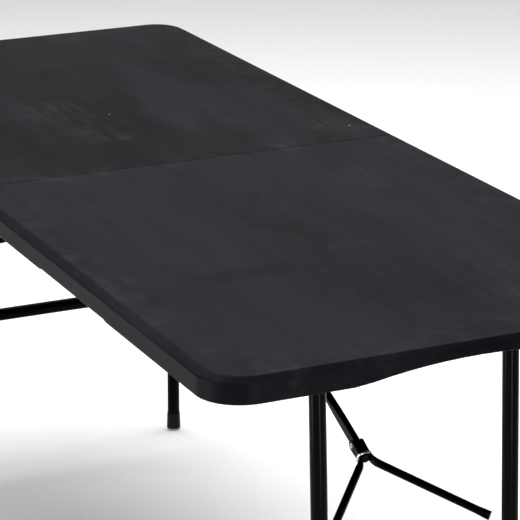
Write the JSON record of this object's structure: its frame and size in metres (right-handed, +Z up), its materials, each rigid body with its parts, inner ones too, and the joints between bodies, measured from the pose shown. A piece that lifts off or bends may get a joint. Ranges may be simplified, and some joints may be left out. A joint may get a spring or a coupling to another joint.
{
  "type": "folding table",
  "caption": "Fold-in-half table with a dark moulded top and wishbone legs that fold under each half.",
  "frame": {"origin": "on the floor, under the centre of the table top", "axes": "+X along the table towards the near half, +Y across it, +Z up"},
  "size_m": [1.8, 0.7, 0.74],
  "materials": {
    "moulded_top": "blow-moulded charcoal plastic with a fine grain, faintly cloudy and scuffed",
    "black_steel": "glossy black powder coat",
    "zinc_steel": "bright zinc plate",
    "black_plastic": "moulded black plastic",
    "grey_pad": "light grey foot pad"
  },
  "bodies": {
    "far_half": {"far_top": "moulded_top", "far_rail_right": "black_steel", "far_rail_left": "black_steel", "far_rail_screws": "zinc_steel", "far_hinge_screws": "zinc_steel", "far_hinge_leaves": "zinc_steel", "far_pivot_bolts": "zinc_steel", "far_rest_clips": "black_plastic", "far_strut_bracket": "zinc_steel", "far_bracket_pin": "zinc_steel", "far_bracket_screws": "zinc_steel", "hinge_pin_left": "zinc_steel", "hinge_pin_right": "zinc_steel"},
    "near_half": {"near_top": "moulded_top", "near_rail_right": "black_steel", "near_rail_left": "black_steel", "near_rail_screws": "zinc_steel", "near_hinge_screws": "zinc_steel", "near_hinge_leaves": "zinc_steel", "near_pivot_bolts": "zinc_steel", "near_rest_clips": "black_plastic", "near_strut_bracket": "zinc_steel", "near_bracket_pin": "zinc_steel", "near_bracket_screws": "zinc_steel", "handle_brackets": "black_plastic", "handle_screws": "zinc_steel"},
    "near_legs": {"near_pivot_tube": "black_steel", "near_pivot_bushes": "black_plastic", "near_leg_right": "black_steel", "near_leg_left": "black_steel", "near_crossbar": "black_steel", "near_foot_cap_right": "black_plastic", "near_foot_cap_left": "black_plastic", "near_foot_pad_right": "grey_pad", "near_foot_pad_left": "grey_pad"},
    "near_strut": {"near_strut": "black_steel"},
    "near_brace": {"near_brace_arm_right": "black_steel", "near_brace_arm_left": "black_steel", "near_brace_rivet": "zinc_steel"},
    "near_ring": {"near_lock_ring": "zinc_steel"},
    "far_legs": {"far_pivot_tube": "black_steel", "far_pivot_bushes": "black_plastic", "far_leg_right": "black_steel", "far_leg_left": "black_steel", "far_crossbar": "black_steel", "far_foot_cap_right": "black_plastic", "far_foot_cap_left": "black_plastic", "far_foot_pad_right": "grey_pad", "far_foot_pad_left": "grey_pad"},
    "far_strut": {"far_strut": "black_steel"},
    "far_brace": {"far_brace_arm_right": "black_steel", "far_brace_arm_left": "black_steel", "far_brace_rivet": "zinc_steel"},
    "far_ring": {"far_lock_ring": "zinc_steel"},
    "handle": {"carry_handle": "black_steel", "handle_grip": "black_plastic"}
  },
  "joints": [
    {"name": "centre_fold", "type": "hinge", "parent": "far_half", "child": "near_half", "pos_m": [0, 0, 0.695], "axis": [0, 1, 0], "range_deg": [0, 90]},
    {"name": "near_leg_fold", "type": "hinge", "parent": "near_half", "child": "near_legs", "pos_m": [0.727, 0, 0.7085], "axis": [0, 1, 0], "range_deg": [0, 91.78]},
    {"name": "near_strut_swing", "type": "hinge", "parent": "near_half", "child": "near_strut", "pos_m": [0.026, 0, 0.724], "axis": [0, 1, 0], "range_deg": [-23.94, 0]},
    {"name": "near_brace_swing", "type": "hinge", "parent": "near_strut", "child": "near_brace", "pos_m": [0.56415, 0, 0.48508], "axis": [0, 1, 0], "range_deg": [0, 175.28]},
    {"name": "near_ring_slide", "type": "slide", "parent": "near_strut", "child": "near_ring", "axis": [-0.914, 0, 0.4058], "range_m": [0, 0.36]},
    {"name": "far_leg_fold", "type": "hinge", "parent": "far_half", "child": "far_legs", "pos_m": [-0.727, 0, 0.7085], "axis": [0, -1, 0], "range_deg": [0, 91.78]},
    {"name": "far_strut_swing", "type": "hinge", "parent": "far_half", "child": "far_strut", "pos_m": [-0.026, 0, 0.724], "axis": [0, -1, 0], "range_deg": [-23.94, 0]},
    {"name": "far_brace_swing", "type": "hinge", "parent": "far_strut", "child": "far_brace", "pos_m": [-0.56415, 0, 0.48508], "axis": [0, -1, 0], "range_deg": [0, 175.28]},
    {"name": "far_ring_slide", "type": "slide", "parent": "far_strut", "child": "far_ring", "axis": [0.914, 0, 0.4058], "range_m": [0, 0.36]},
    {"name": "handle_swing", "type": "hinge", "parent": "near_half", "child": "handle", "pos_m": [0.43, 0.326, 0.699], "axis": [1, 0, 0], "range_deg": [-45, 90]}
  ],
  "couplings": [
    {"joint": "near_strut_swing", "follows": "near_leg_fold", "ratio": -0.26084},
    {"joint": "near_brace_swing", "follows": "near_leg_fold", "ratio": 1.9098},
    {"joint": "near_ring_slide", "follows": "near_leg_fold", "m_per_rad": 0.22474},
    {"joint": "far_strut_swing", "follows": "far_leg_fold", "ratio": -0.26084},
    {"joint": "far_brace_swing", "follows": "far_leg_fold", "ratio": 1.9098},
    {"joint": "far_ring_slide", "follows": "far_leg_fold", "m_per_rad": 0.22474}
  ]
}
